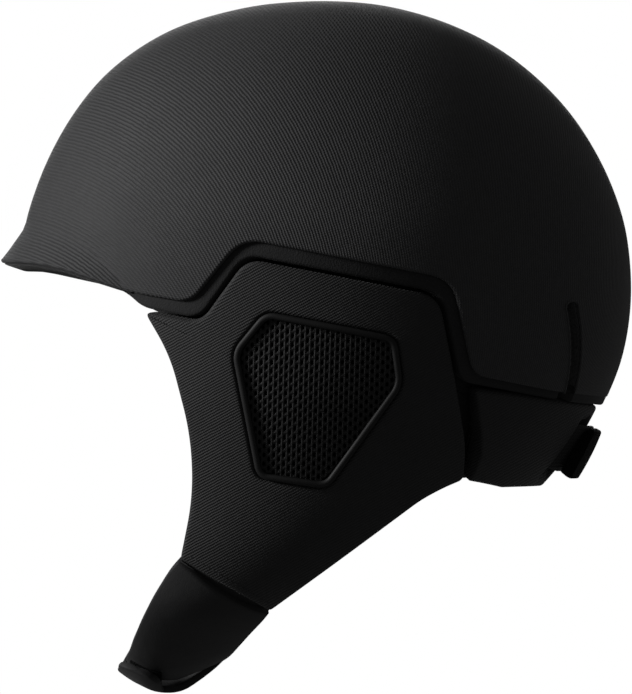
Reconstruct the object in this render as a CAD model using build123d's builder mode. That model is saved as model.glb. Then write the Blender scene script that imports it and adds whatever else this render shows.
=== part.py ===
from build123d import *
from math import cos, radians, sin
import os

os.makedirs("parts", exist_ok=True)

# ---------------------------------------------------------------- driving dimensions, mm
# Frame: origin at the centre of the head opening, +Z up, the peak points along -Y, the wearer's left is +X.
HEAD_LENGTH = 243.0        # outside of the dome, front to back
HEAD_WIDTH = 190.0         # outside of the dome, ear to ear
TOP_Z = 99.6               # crown above the origin
CHIN_Z = -173.4            # lowest point of the head form, under the chin
COVER_T = 1.6              # ribbed fabric skin of the dome
SHELL_T = 12.0             # skin and impact foam together
LINER_T = 1.8              # brushed lining inside the foam
PAD_T = 5.5                # comfort pads
STEP_SINK = 1.8            # the edge band lies this much below the dome
FLAP_SINK = 1.4            # the ear flaps lie this much below the dome
FLAP_SKIN = 1.5            # fabric on the outside of an ear flap
FLAP_T = 8.5               # ear flap, without its lining
FLAP_LINING = 1.4
GROOVE = 1.3               # gap between the shell edge and the flaps
SLOT_W = 5.4               # relief slots beside the rear tongue
SLOT_LENGTH = 70.0
SLOT_LEAN = 17.0           # degrees; they spread apart toward the top
SLOT_TOP = (57.4, -20.4)   # upper end of the left slot, x and z
TONGUE_X = 46.4            # the slots cross the edge band this far from the middle
INSERT_OUT = 5.0           # the elastic insert lies this deep in its slot
INSERT_T = 4.0
VENT_RIM = 2.6             # width of the ear vent's rim
VENT_RAISE = 1.0           # the rim stands this proud of the flap
GRILLE_T = 1.8
MESH_T = 0.8               # insect mesh behind the grille
STRAP_T = 3.0              # neoprene chin strap
TAB_T = 2.8                # the strap's outer end, which closes over the other half
TAB_OUT = 3.6              # how far the closing end stands out under the chin
PATCH_T = 0.7              # hook patch
NAPE_GAP = 24.0            # space between the two nape panels
NAPE_SINK = 1.0
NAPE_T = 8.0
NAPE_SKIN = 1.4
WEB_T = 1.6                # rear strap
PULL_T = 3.4               # hook-and-loop pull tab on the rear strap
ELASTIC_T = 1.2            # nape elastic, flap hinge strips and gussets

# Height, foremost point, rearmost point and half width of the head form at each level.
LEVELS = [
    (CHIN_Z, -67.0, -61.0, 3.0), (-170.6, -74.0, -53.0, 13.0), (-165.0, -82.5, -40.0, 24.0),
    (-156.2, -91.5, -22.0, 38.0), (-145.4, -100.6, 6.0, 52.0), (-125.0, -106.0, 50.0, 67.0),
    (-93.0, -110.0, 89.0, 80.0), (-75.0, -114.0, 103.0, 85.5), (-60.0, -117.0, 111.0, 89.5),
    (-45.0, -119.5, 117.0, 92.2), (-25.0, -121.5, 120.8, 94.5), (-5.0, -122.2, 120.8, 95.0),
    (10.0, -121.0, 118.6, 93.7), (25.0, -116.6, 113.8, 90.0), (40.0, -110.2, 106.6, 84.7),
    (55.0, -101.4, 96.6, 77.4), (70.0, -89.0, 82.2, 66.9), (80.0, -76.6, 69.0, 56.9),
    (90.0, -57.8, 49.4, 41.9), (95.0, -41.6, 34.4, 29.7), (98.0, -26.6, 20.6, 18.5),
    (99.4, -9.5, 5.5, 6.0),
]
MID_Y, MID_Z = -0.7, (TOP_Z + CHIN_Z) / 2


def head_form(inset):
    """Solid head form, moved inward by about `inset` everywhere."""
    kx = 1 - inset / (HEAD_WIDTH / 2)
    ky = 1 - inset / (HEAD_LENGTH / 2)
    kz = 1 - inset / ((TOP_Z - CHIN_Z) / 2)
    with BuildPart() as solid:
        for z, front, rear, half in LEVELS:
            with BuildSketch(Plane.XY.offset(MID_Z + (z - MID_Z) * kz)):
                with Locations((0, MID_Y + ((front + rear) / 2 - MID_Y) * ky)):
                    Ellipse(half * kx, (rear - front) / 2 * ky)
        loft()
    return solid.part


# The depths below the dome's surface where one layer ends and the next begins.
LINER_IN = SHELL_T + LINER_T
PAD_IN = LINER_IN + PAD_T
FLAP_MID = FLAP_SINK + FLAP_SKIN
FLAP_IN = FLAP_SINK + FLAP_T
FLAP_LINED = FLAP_IN + FLAP_LINING
EAR_PAD_IN = FLAP_LINED + 5.0
RIM_OUT = FLAP_SINK - VENT_RAISE
GRILLE_OUT = FLAP_SINK + 0.8
GRILLE_IN = GRILLE_OUT + GRILLE_T
MESH_OUT = FLAP_SINK + 5.0
MESH_IN = MESH_OUT + MESH_T
HINGE_OUT = FLAP_IN + 4.2
HINGE_IN = HINGE_OUT + ELASTIC_T
GUSSET_OUT = FLAP_LINED + 0.2
GUSSET_IN = GUSSET_OUT + ELASTIC_T
INSERT_IN = INSERT_OUT + INSERT_T
STRAP_IN = FLAP_SINK + STRAP_T
LOOP_PATCH_OUT = FLAP_SINK - 0.9
TAB_IN = TAB_T - TAB_OUT
NAPE_MID = NAPE_SINK + NAPE_SKIN
NAPE_LINED = NAPE_T + 1.3
ELASTIC_OUT = NAPE_LINED + 0.6
ELASTIC_IN = ELASTIC_OUT + ELASTIC_T
RECESS_IN = 5.0            # pocket in the nape panels for the ends of the rear strap
WEB_OUT = -0.9
WEB_IN = WEB_OUT + WEB_T
PULL_IN = WEB_OUT - 0.3
PULL_OUT = PULL_IN - PULL_T
depths = [
    0.0, COVER_T, STEP_SINK, SHELL_T, LINER_IN, PAD_IN, INSERT_OUT, INSERT_IN, FLAP_SINK, FLAP_MID,
    FLAP_IN, FLAP_LINED, EAR_PAD_IN, RIM_OUT, GRILLE_OUT, GRILLE_IN, MESH_OUT, MESH_IN,
    HINGE_OUT, HINGE_IN, GUSSET_OUT, GUSSET_IN, STRAP_IN, -TAB_OUT, TAB_IN, TAB_IN + PATCH_T,
    LOOP_PATCH_OUT, NAPE_SINK, NAPE_MID, NAPE_T, NAPE_LINED, ELASTIC_OUT, ELASTIC_IN,
    WEB_OUT, WEB_IN, PULL_IN, PULL_OUT, RECESS_IN,
]
forms = {depth: head_form(depth) for depth in set(depths)}


def wall(outer, inner, region):
    """Adds to the open part the wall between two depths that lies inside a region."""
    add(forms[outer])
    add(region, mode=Mode.INTERSECT)
    add(forms[inner], mode=Mode.SUBTRACT)


def side_prism(points, radius, x0=-150.0, x1=150.0):
    """Prism whose side view is a rounded polygon of (y, z) points, between x0 and x1."""
    with BuildPart() as prism:
        with BuildSketch(Plane.YZ.offset(x0)):
            with BuildLine():
                FilletPolyline(*points, radius=radius, close=True)
            make_face()
        extrude(amount=x1 - x0)
    return prism.part


def box_between(x0, x1, y0, y1, z0, z1):
    with BuildPart() as solid:
        with Locations(((x0 + x1) / 2, (y0 + y1) / 2, (z0 + z1) / 2)):
            Box(x1 - x0, y1 - y0, z1 - z0)
    return solid.part


def save(piece, name):
    piece.part.label = name
    export_step(piece.part, f"parts/{name}.step")


def save_pair(piece, name):
    """The left piece, and its mirror image on the right."""
    save(piece, f"{name}_left")
    other = mirror(piece.part, about=Plane.YZ)
    other.label = f"{name}_right"
    export_step(other, f"parts/{name}_right.step")


# ---------------------------------------------------------------- side-view outlines, (y, z) in mm
STEP_LINE = [(-160, -5.2), (-108, -5.2), (-78, -17.4), (-54.5, -21.4), (-34, 4.0), (49.2, -12.2),
             (57.4, -50.0), (92, -57.0), (112, -59.4), (160, -61.0)]
EDGE_LINE = [(-160, -7.6), (-119, -8.0), (-99, -12.4), (-86.5, -15.0), (-80.5, -18.0), (-74.5, -23.4),
             (-51.5, -27.8), (-33, -2.4), (45.6, -17.6), (53, -53.0), (90, -60.4), (160, -68.0)]
SKY = [(160, 140), (-160, 140)]
above_step = side_prism(STEP_LINE + SKY, 5)
above_edge = side_prism(EDGE_LINE + SKY, 5)
flap_top = [(y + (0.4 if y < 0 else -1.0), z - GROOVE) for y, z in EDGE_LINE[5:9]]
flap = side_prism(flap_top + [(50.6, -50), (55.6, -79), (52.4, -92.6), (45, -94), (-22.5, -145.4),
                              (-59.6, -122.8), (-54.4, -98), (-55.4, -74), (-63.6, -42.5)], 3.5, 5)
strap_side = [(-60.2, -124.2), (-23.4, -147.0), (-43.6, -164), (-64, -176), (-66, -190), (-84, -190),
              (-83.5, -166), (-77.6, -153.6), (-70.4, -137.6)]
tab_side = [(-62, -150), (-43.6, -165), (-64, -179), (-66, -195), (-84.2, -195), (-84.4, -167), (-79.6, -156)]
patch_side = [(-66, -150), (-50, -166), (-66, -174), (-66, -190), (-80, -190), (-80, -160)]
nape = side_prism([(59.3, -57.2), (90, -62.0), (125, -67), (125, -74), (104, -100), (86, -95.6),
                   (55.4, -93.0), (61.2, -81)], 3, NAPE_GAP / 2)
VENT = [(-38.4, -40.8), (-25.2, -24.8), (27.2, -34.8), (30.0, -54.4), (0.0, -95.6), (-28.4, -91.2)]
VENT_MID = (-5.6, -58.4)


def vent_prism(grow):
    """Prism of the ear vent's hexagon, grown outward from its middle."""
    points = []
    for y, z in VENT:
        reach = ((y - VENT_MID[0]) ** 2 + (z - VENT_MID[1]) ** 2) ** 0.5
        points.append((y + grow * (y - VENT_MID[0]) / reach, z + grow * (z - VENT_MID[1]) / reach))
    return side_prism(points, 4.5, 5)


vent_outside = vent_prism(0)
vent_inside = vent_prism(-VENT_RIM)
ear_space = vent_prism(-VENT_RIM - 5)
pad_outside = vent_prism(5)



# ---------------------------------------------------------------- dome: skin, foam, edge bands and lining
def slot_prism(side):
    """Prism of the relief slot on one side, through the rear of the shell."""
    reach = SLOT_LENGTH / 2
    middle_x = SLOT_TOP[0] - reach * sin(radians(SLOT_LEAN))
    middle_z = SLOT_TOP[1] - reach * cos(radians(SLOT_LEAN))
    with BuildPart() as prism:
        with BuildSketch(Plane.XZ.offset(-50)):
            with Locations((side * middle_x, middle_z)):
                SlotOverall(SLOT_LENGTH, SLOT_W, rotation=90 - side * SLOT_LEAN)
        extrude(amount=-90)
    return prism.part


with BuildPart() as slots:
    add(slot_prism(1))
    add(slot_prism(-1))
tongue = box_between(-TONGUE_X, TONGUE_X, 50, 150, -90, 0)

with BuildPart() as shell_cover:
    wall(0.0, COVER_T, above_step)
    add(slots.part, mode=Mode.SUBTRACT)
save(shell_cover, "shell_cover")

with BuildPart() as impact_foam:
    wall(COVER_T, SHELL_T, above_step)
    add(slots.part, mode=Mode.SUBTRACT)
save(impact_foam, "impact_foam")

with BuildPart() as bands:
    wall(STEP_SINK, SHELL_T, above_edge)
    add(above_step, mode=Mode.SUBTRACT)
    add(slots.part, mode=Mode.SUBTRACT)

with BuildPart() as edge_band:
    add(bands.part)
    add(tongue, mode=Mode.SUBTRACT)
save(edge_band, "edge_band")

with BuildPart() as rear_edge_band:
    add(bands.part)
    add(tongue, mode=Mode.INTERSECT)
save(rear_edge_band, "rear_edge_band")

with BuildPart() as inner_liner:
    wall(SHELL_T, LINER_IN, above_edge)
    add(slots.part, mode=Mode.SUBTRACT)
save(inner_liner, "inner_liner")

# Elastic inserts close the relief slots below the surface.
with BuildPart() as insert_strip:
    add(slot_prism(1))
    add(box_between(30, 80, 50, 140, -57, SLOT_TOP[1] - SLOT_W / 2), mode=Mode.INTERSECT)
with BuildPart() as slot_insert:
    wall(INSERT_OUT, INSERT_IN, insert_strip.part)
save_pair(slot_insert, "slot_insert")

# ---------------------------------------------------------------- peak: foam core, rolled lip and lining
with BuildPart() as flare:
    for z, front, half in ((12, -120.2, 92.4), (8, -122.4, 93.2), (3, -126, 93.8), (-1.5, -129, 93.8),
                           (-5.2, -131, 93.8), (-20, -131, 93.8)):
        with BuildSketch(Plane.XY.offset(z)):
            with Locations((0, (front + 120) / 2)):
                Ellipse(half, (120 - front) / 2)
    loft()
core_area = side_prism([(-160, -2.2), (-108, -2.2), (-77, -10), (-84, 8), (-160, 8)], 2)
lip_area = side_prism([(-160, -5.2), (-108, -5.2), (-75, -18.4), (-77, -10), (-108, -2.2), (-160, -2.2)], 1)
lining_area = side_prism([(-128, -6.6), (-108, -6.6), (-84, -16.4),
                          (-84, -15.2), (-108, -5.3), (-128, -5.3)], 0.4)

with BuildPart() as peak_core:
    add(flare.part)
    add(core_area, mode=Mode.INTERSECT)
    add(forms[0.0], mode=Mode.SUBTRACT)
save(peak_core, "peak_core")

with BuildPart() as peak_lip:
    add(flare.part)
    add(lip_area, mode=Mode.INTERSECT)
    add(forms[0.0], mode=Mode.SUBTRACT)
save(peak_lip, "peak_lip")

with BuildPart() as peak_lining:
    add(flare.part)
    add(lining_area, mode=Mode.INTERSECT)
    add(forms[0.0], mode=Mode.SUBTRACT)
save(peak_lining, "peak_lining")

# ---------------------------------------------------------------- comfort pads inside the dome
forehead_area = box_between(-52, 52, -140, -60, 2, 26)
rear_area = box_between(-44, 44, 60, 140, -40, -6)
temple_area = side_prism([(-34, 12), (30, 4), (34, 30), (-30, 38)], 7, 5)
with BuildPart() as crown_area:
    with BuildSketch(Plane.XY.offset(40)):
        with Locations((0, -4)):
            Circle(34)
    extrude(amount=80)

with BuildPart() as forehead_pad:
    wall(LINER_IN, PAD_IN, forehead_area)
save(forehead_pad, "forehead_pad")

with BuildPart() as rear_pad:
    wall(LINER_IN, PAD_IN, rear_area)
save(rear_pad, "rear_pad")

with BuildPart() as crown_pad:
    wall(LINER_IN, PAD_IN, crown_area.part)
save(crown_pad, "crown_pad")

with BuildPart() as side_pad:
    wall(LINER_IN, PAD_IN, temple_area)
save_pair(side_pad, "side_pad")

# ---------------------------------------------------------------- ear flaps
with BuildPart() as ear_flap_cover:
    wall(FLAP_SINK, FLAP_MID, flap)
    add(vent_outside, mode=Mode.SUBTRACT)
save_pair(ear_flap_cover, "ear_flap_cover")

with BuildPart() as ear_flap_foam:
    wall(FLAP_MID, FLAP_IN, flap)
    add(vent_outside, mode=Mode.SUBTRACT)
save_pair(ear_flap_foam, "ear_flap_foam")

with BuildPart() as ear_flap_lining:
    wall(FLAP_IN, FLAP_LINED, flap)
    add(ear_space, mode=Mode.SUBTRACT)
save_pair(ear_flap_lining, "ear_flap_lining")

with BuildPart() as ear_vent_rim:
    wall(RIM_OUT, FLAP_IN, vent_outside)
    add(vent_inside, mode=Mode.SUBTRACT)
save_pair(ear_vent_rim, "ear_vent_rim")

with BuildPart() as ear_vent_grille:
    wall(GRILLE_OUT, GRILLE_IN, vent_inside)
save_pair(ear_vent_grille, "ear_vent_grille")

with BuildPart() as ear_mesh:
    wall(MESH_OUT, MESH_IN, vent_inside)
save_pair(ear_mesh, "ear_mesh")

with BuildPart() as ear_pad:
    wall(FLAP_LINED, EAR_PAD_IN, pad_outside)
    add(ear_space, mode=Mode.SUBTRACT)
save_pair(ear_pad, "ear_pad")

# Soft hinge strips behind the groove, from the shell edge to the flap.
hinge_area = side_prism([(-30, -1.0), (40, -15.0), (40, -20.5), (-30, -6.5)], 1.0, 5)
with BuildPart() as flap_hinge_strip:
    wall(HINGE_OUT, HINGE_IN, hinge_area)
save_pair(flap_hinge_strip, "flap_hinge_strip")

# Soft gussets close the gap between each ear flap and the nape from inside.
gusset_area = side_prism([(46, -60.5), (69, -64), (68, -92.6), (47, -93.6)], 2, 5)
with BuildPart() as nape_gusset:
    wall(GUSSET_OUT, GUSSET_IN, gusset_area)
save_pair(nape_gusset, "nape_gusset")

# ---------------------------------------------------------------- chin strap, closed under the chin
SPLIT = 0.6
TAB_FROM, TAB_TO = -14.0, 18.0
left_half = side_prism(strap_side, 2, SPLIT)
right_half = side_prism(strap_side, 2, -150, -SPLIT)
joined_end = side_prism(strap_side, 2, TAB_FROM, -SPLIT)
tab_area = side_prism(tab_side, 3, TAB_FROM, TAB_TO)
patch_area = side_prism(patch_side, 2, 2, TAB_TO - 2.5)

with BuildPart() as chin_strap_left:
    wall(FLAP_SINK, STRAP_IN, left_half)
save(chin_strap_left, "chin_strap_left")

with BuildPart() as step_piece:
    wall(TAB_IN, STRAP_IN, joined_end)
with BuildPart() as closing_tab:
    wall(-TAB_OUT, TAB_IN, tab_area)
with BuildPart() as chin_strap_right:
    wall(FLAP_SINK, STRAP_IN, right_half)
    add(step_piece.part)
    add(closing_tab.part)
save(chin_strap_right, "chin_strap_right")

with BuildPart() as chin_hook_patch:
    wall(TAB_IN, TAB_IN + PATCH_T, patch_area)
save(chin_hook_patch, "chin_hook_patch")

with BuildPart() as chin_loop_patch:
    wall(LOOP_PATCH_OUT, FLAP_SINK, patch_area)
save(chin_loop_patch, "chin_loop_patch")

# ---------------------------------------------------------------- nape panels and their adjuster
recess_area = box_between(18, 28.5, 50, 140, -89.5, -68.5)
with BuildPart() as recess:
    wall(PULL_OUT, RECESS_IN, recess_area)
web_area = box_between(-27, 27, 50, 140, -89, -70)
pull_area = box_between(-21.5, 21.5, 50, 140, -89.8, -71.6)
elastic_area = box_between(-34, 34, 50, 140, -89, -68)

with BuildPart() as nape_cover:
    wall(NAPE_SINK, NAPE_MID, nape)
    add(recess.part, mode=Mode.SUBTRACT)
save_pair(nape_cover, "nape_cover")

with BuildPart() as nape_foam:
    wall(NAPE_MID, NAPE_T, nape)
    add(recess.part, mode=Mode.SUBTRACT)
save_pair(nape_foam, "nape_foam")

with BuildPart() as nape_lining:
    wall(NAPE_T, NAPE_LINED, nape)
save_pair(nape_lining, "nape_lining")

with BuildPart() as nape_elastic:
    wall(ELASTIC_OUT, ELASTIC_IN, elastic_area)
save(nape_elastic, "nape_elastic")

with BuildPart() as rear_strap:
    wall(WEB_OUT, WEB_IN, web_area)
save(rear_strap, "rear_strap")

with BuildPart() as rear_pull_tab:
    wall(PULL_OUT, PULL_IN, pull_area)
save(rear_pull_tab, "rear_pull_tab")
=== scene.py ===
from math import atan2, cos, pi, radians, sin

import bmesh
import bpy
import numpy as np
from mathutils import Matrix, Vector


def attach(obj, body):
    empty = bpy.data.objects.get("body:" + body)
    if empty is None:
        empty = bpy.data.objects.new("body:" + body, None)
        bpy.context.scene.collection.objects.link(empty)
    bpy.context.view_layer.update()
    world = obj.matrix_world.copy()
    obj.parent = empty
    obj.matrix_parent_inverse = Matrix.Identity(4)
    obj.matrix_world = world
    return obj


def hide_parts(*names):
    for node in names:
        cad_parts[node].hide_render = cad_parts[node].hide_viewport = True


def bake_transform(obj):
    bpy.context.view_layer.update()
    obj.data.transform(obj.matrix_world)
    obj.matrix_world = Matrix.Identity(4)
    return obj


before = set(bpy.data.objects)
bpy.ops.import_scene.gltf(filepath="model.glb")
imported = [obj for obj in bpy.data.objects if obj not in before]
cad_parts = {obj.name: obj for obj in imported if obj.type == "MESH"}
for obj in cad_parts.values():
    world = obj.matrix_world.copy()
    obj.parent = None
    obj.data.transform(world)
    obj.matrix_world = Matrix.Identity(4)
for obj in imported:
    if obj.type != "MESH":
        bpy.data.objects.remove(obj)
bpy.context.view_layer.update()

# ---- sizes, in millimetres as in the CAD
# The row frame: +Z up, the peak points along -Y, the wearer's left is +X.
MM = 0.001
TOP_Z, CHIN_Z = 99.6, -173.4
HUB_Z = -118.0                # the chin loop's angles are measured round this height
CHIN_R = 60.0                 # turns those angles into lengths along the strap
# Depths below the head form's surface.
COVER_IN = 1.6                # back of the dome's skin
STEP_SINK = 1.8               # face of the edge band
TONGUE_SINK = 0.35            # face of the edge band between the relief slots
SHELL_IN, LINER_IN = 12.0, 13.8
FLAP_SINK, FLAP_IN, FLAP_LINED = 1.4, 9.9, 11.3
NAPE_SINK, NAPE_IN = 1.0, 8.0
PAD_T = 5.5
SLOT_W, SLOT_LEAN = 5.4, radians(17.0)
SLOT_TOP = (57.4, -20.4)      # upper end of the left relief slot, x and z
SLOT_CUT, SLOT_LIP = 66.0, 35.0   # how far down the cut and the rolled lip run
TONGUE_X = 46.4               # the slots cross the edge band this far from the middle
VENT_RIM = 2.6
HOLE_W, HOLE_H = 1.12, 2.15   # a perforation of the ear vent
PITCH_Y, PITCH_Z = 2.02, 3.5
HOLE_LEAN = 0.03              # forward lean of the rows of perforations
GRILLE_RIB = 0.32             # height of the low rib between the perforations
NAPE_LENGTH = 96.0            # each nape panel, from its flap to the middle
SEAT_MID, SEAT_HALF, SEAT_DEPTH = (21.6, -79.2), (5.2, 11.2), 3.0   # where the strap goes in, x and z
TAB_REACH, TAB_DROP = 20.1, 5.0   # the chin tab's length past the middle, and how far it steps down
FLAP_RIB = 1.02               # spacing of the ribs on the ear flaps
FLAP_TILT = radians(28)       # they climb this much toward the rear

# Height, foremost point, rearmost point and half width of the head form at each level.
LEVELS = [
    (CHIN_Z, -67.0, -61.0, 3.0), (-170.6, -74.0, -53.0, 13.0), (-165.0, -82.5, -40.0, 24.0),
    (-156.2, -91.5, -22.0, 38.0), (-145.4, -100.6, 6.0, 52.0), (-125.0, -106.0, 50.0, 67.0),
    (-93.0, -110.0, 89.0, 80.0), (-75.0, -114.0, 103.0, 85.5), (-60.0, -117.0, 111.0, 89.5),
    (-45.0, -119.5, 117.0, 92.2), (-25.0, -121.5, 120.8, 94.5), (-5.0, -122.2, 120.8, 95.0),
    (10.0, -121.0, 118.6, 93.7), (25.0, -116.6, 113.8, 90.0), (40.0, -110.2, 106.6, 84.7),
    (55.0, -101.4, 96.6, 77.4), (70.0, -89.0, 82.2, 66.9), (80.0, -76.6, 69.0, 56.9),
    (90.0, -57.8, 49.4, 41.9), (95.0, -41.6, 34.4, 29.7), (98.0, -26.6, 20.6, 18.5),
    (99.4, -9.5, 5.5, 6.0),
]
# Side-view lines and outlines, (y, z), with the corner radius as a third number.
STEP_LINE = [(-160, -5.2, 0), (-108, -5.2, 12), (-78, -17.4, 6), (-54.5, -21.4, 6), (-34, 4.0, 9),
             (49.2, -12.2, 9), (57.4, -50.0, 6), (92, -57.0, 9), (112, -59.4, 9), (160, -61.0, 0)]
EDGE_LINE = [(-160, -7.6, 0), (-119, -8.0, 10), (-99, -12.4, 10), (-86.5, -15.0, 5), (-80.5, -18.0, 3),
             (-74.5, -23.4, 4), (-51.5, -27.8, 6), (-33, -2.4, 7),
             (45.6, -17.6, 8), (53, -53.0, 5), (90, -60.4, 9), (160, -68.0, 0)]
FLAP = [(-74.1, -24.7, 4), (-51.1, -29.1, 6), (-32.6, -3.9, 7), (44.4, -18.9, 8), (50.6, -50, 8),
        (55.6, -79, 9), (54.8, -92.6, 2.5), (47, -95.8, 5), (38, -100.5, 6), (-22.6, -145.6, 1.7),
        (-59.4, -123.2, 1.7), (-54.4, -98, 18), (-55.4, -74, 18), (-63.6, -42.5, 14)]
VENT = [(-38.4, -40.8, 5), (-25.2, -24.8, 5), (27.2, -34.8, 5), (30.0, -54.4, 5), (0.0, -95.6, 5),
        (-28.4, -91.2, 5)]
VENT_MID = (-5.6, -58.4)
# The seam between a flap and its strap half, and the direction square to it, away from the flap.
SEAM_FRONT, SEAM_REAR, SEAM_DOWN = (-58.4, -124.0), (-24.6, -145.2), (-0.532, -0.847)
# How the dome's ribs run in side view: y, z, degrees down toward the rear, spacing.
RIBS = [(-128, -3, 10, 1.3), (-120, 10, 14, 1.3), (-118, 0, 8, 1.4), (-108, 20, 20, 1.4),
        (-91, 32, 30, 1.38), (-71, 4, 45, 1.26), (-63, 52, 43, 1.36), (-31, 76, 47, 1.26),
        (-27, 32, 61, 1.22), (1, 56, 63, 1.24), (1, 88, 50, 1.2), (9, 16, 76, 1.12), (41, 32, 81, 1.12),
        (40, 80, 68, 1.2), (60, -30, 90, 1.1), (90, 40, 86, 0.92), (112, -20, 92, 0.55)]
WIDEST_Z = -5.0               # level at which the form is widest


# ---- vectors and paths
def unit(v):
    """Rows of v brought to length one."""
    return v / np.linalg.norm(v, axis=1)[:, None]


def running(path):
    """Distance along a path from its first point to each point."""
    return np.concatenate([[0], np.cumsum(np.linalg.norm(np.diff(path, axis=0), axis=1))])


def at_run(v, run, path):
    """The place, or places, at distances v along a path."""
    return np.stack([np.interp(v, run, path[:, k]) for k in range(path.shape[1])], -1)


def square_to(path):
    """Directions square to a side-view path that runs rearward, pointing up."""
    t = unit(np.gradient(path, axis=0))
    return np.stack([-t[:, 1], t[:, 0]], 1)


# ---- the head form as a smooth surface
def smooth_profile():
    """Dense rows of (z, front, rear, half width) through LEVELS, rounded off at the crown and chin."""
    rows = [(CHIN_Z + 1.5, -57.0, -71.0, -7.0), (CHIN_Z - 0.2, -64.0, -64.0, 0.0)] + LEVELS
    rows += [(TOP_Z, -2.0, -2.0, 0.0), (99.4, 5.5, -9.5, -6.0)]
    p = np.array(rows, float)
    step = np.linalg.norm(np.diff(p[:, [0, 2]], axis=0), axis=1)
    slope = np.diff(p, axis=0) / step[:, None]
    out = []
    for i in range(1, len(p) - 2):
        h0, h1, h2 = step[i - 1], step[i], step[i + 1]
        m0 = (slope[i] * h0 + slope[i - 1] * h1) / (h0 + h1) * h1
        m1 = (slope[i + 1] * h1 + slope[i] * h2) / (h1 + h2) * h1
        t = np.linspace(0, 1, 60, endpoint=False)[:, None]
        out.append((2 * t**3 - 3 * t**2 + 1) * p[i] + (t**3 - 2 * t**2 + t) * m0
                   + (3 * t**2 - 2 * t**3) * p[i + 1] + (t**3 - t**2) * m1)
    out.append(p[-2:-1])
    rows = np.vstack(out)
    return rows[np.argsort(rows[:, 0])]


PROFILE = smooth_profile()


def level(z):
    """Centre, half length and half width of the form at height z."""
    front, rear, half = (np.interp(z, PROFILE[:, 0], PROFILE[:, k]) for k in (1, 2, 3))
    return (front + rear) / 2, np.maximum((rear - front) / 2, 0.01), np.maximum(half, 0.01)


def outside(x, y, z):
    """Negative inside the form, positive outside, below its lowest point too."""
    c, s, h = level(z)
    return (x / h) ** 2 + ((y - c) / s) ** 2 - 1 + 4 * np.maximum(CHIN_Z - z, 0)


def sink(p, depth):
    """Points moved inward from the form's surface by a depth."""
    x, y, z = p[:, 0], p[:, 1], p[:, 2]
    c, s, h = level(z)
    rise = (outside(x, y, z + 0.4) - outside(x, y, z - 0.4)) / 0.8
    n = unit(np.stack([2 * x / h**2, 2 * (y - c) / s**2, rise], 1))
    return p - n * np.broadcast_to(depth, (len(p),))[:, None]


def bisect(low, high, positive):
    """For each point, the value between low and high where positive(value) turns true."""
    for _ in range(40):
        mid = (low + high) / 2
        yes = positive(mid)
        high = np.where(yes, mid, high)
        low = np.where(yes, low, mid)
    return (low + high) / 2


def around(phi, z):
    """Points at height z and angle phi round the form: 0 in front, pi / 2 on the wearer's left."""
    z = np.broadcast_to(z, phi.shape).astype(float)
    c, s, h = level(z)
    return np.stack([h * np.sin(phi), c - s * np.cos(phi), z], 1)


def on_side(loop):
    """Points of a side-view loop, (y, z), on the left of the form."""
    y, z = loop[:, 0], loop[:, 1]
    c, s, h = level(z)
    return np.stack([h * np.sqrt(np.maximum(1 - ((y - c) / s) ** 2, 1e-4)), y, z], 1)


def on_rear(x, z):
    """Points of the rear of the form."""
    c, s, h = level(z)
    return np.stack([x, c + s * np.sqrt(1 - (x / h) ** 2), z], 1)


def on_top(loop):
    """Points of a plan-view loop, (x, y), on the crown of the form."""
    x, y = loop[:, 0], loop[:, 1]
    z = bisect(np.full(len(x), 5.0), np.full(len(x), TOP_Z), lambda v: outside(x, y, v) > 0)
    return np.stack([x, y, z], 1)


def under_chin(psi, y):
    """Points at angle psi round the chin loop, 0 at its lowest point and positive to the left."""
    r = bisect(np.zeros(len(y)), np.full(len(y), 90.0),
               lambda v: outside(v * np.sin(psi), y, HUB_Z - v * np.cos(psi)) > 0)
    return np.stack([r * np.sin(psi), y, HUB_Z - r * np.cos(psi)], 1)


def chin_angle(y, z):
    """Angle round the chin loop at which a side-view point lies."""
    return atan2(float(on_side(np.array([[y, z]], float))[0, 0]), HUB_Z - z)


# ---- outlines
def rounded(points, closed=True):
    """A polygon or line of (y, z, radius) with its corners rounded, as dense points."""
    p = np.array(points, float)
    out = []
    for i in range(len(p)):
        here, r = p[i, :2], p[i, 2]
        if not closed and i in (0, len(p) - 1):
            out.append(here[None])
            continue
        before, after = p[i - 1, :2] - here, p[(i + 1) % len(p), :2] - here
        lb, la = np.linalg.norm(before), np.linalg.norm(after)
        reach = min(r, lb * 0.48, la * 0.48)
        a, b = here + before / lb * reach, here + after / la * reach
        t = np.linspace(0, 1, 12)[:, None]
        out.append((1 - t) ** 2 * a + 2 * t * (1 - t) * here + t**2 * b)
    return np.vstack(out)


def resample(path, n, closed=True):
    """n points evenly spaced along a path."""
    q = np.vstack([path, path[:1]]) if closed else path
    run = running(q)
    return at_run(np.linspace(0, run[-1], n, endpoint=not closed), run, q)


def by_angle(path, mid, n):
    """n points of a closed path, one at each angle round a middle point."""
    dense = resample(path, 4000)
    angle = np.arctan2(dense[:, 1] - mid[1], dense[:, 0] - mid[0])
    order = np.argsort(angle)
    at = np.linspace(-pi, pi, n, endpoint=False)
    return np.stack([np.interp(at, angle[order], dense[order, k], period=2 * pi) for k in (0, 1)], 1)


def grown(loop, distance):
    """A closed loop moved outward by a distance; negative moves it inward."""
    ahead, behind = np.roll(loop, -1, 0), np.roll(loop, 1, 0)
    t = ahead - behind
    t /= np.linalg.norm(t, axis=1)[:, None] + 1e-9
    n = np.stack([t[:, 1], -t[:, 0]], 1)
    area = np.sum(loop[:, 0] * ahead[:, 1] - ahead[:, 0] * loop[:, 1])
    return loop + n * distance * np.sign(area)


def raised_line(points, up):
    """A side-view line moved up, square to itself, as a function of y."""
    q = resample(rounded(points, closed=False), 3000, closed=False)
    q = q + square_to(q) * up
    order = np.argsort(q[:, 0])
    return lambda y: np.interp(y, q[order, 0], q[order, 1])


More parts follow.
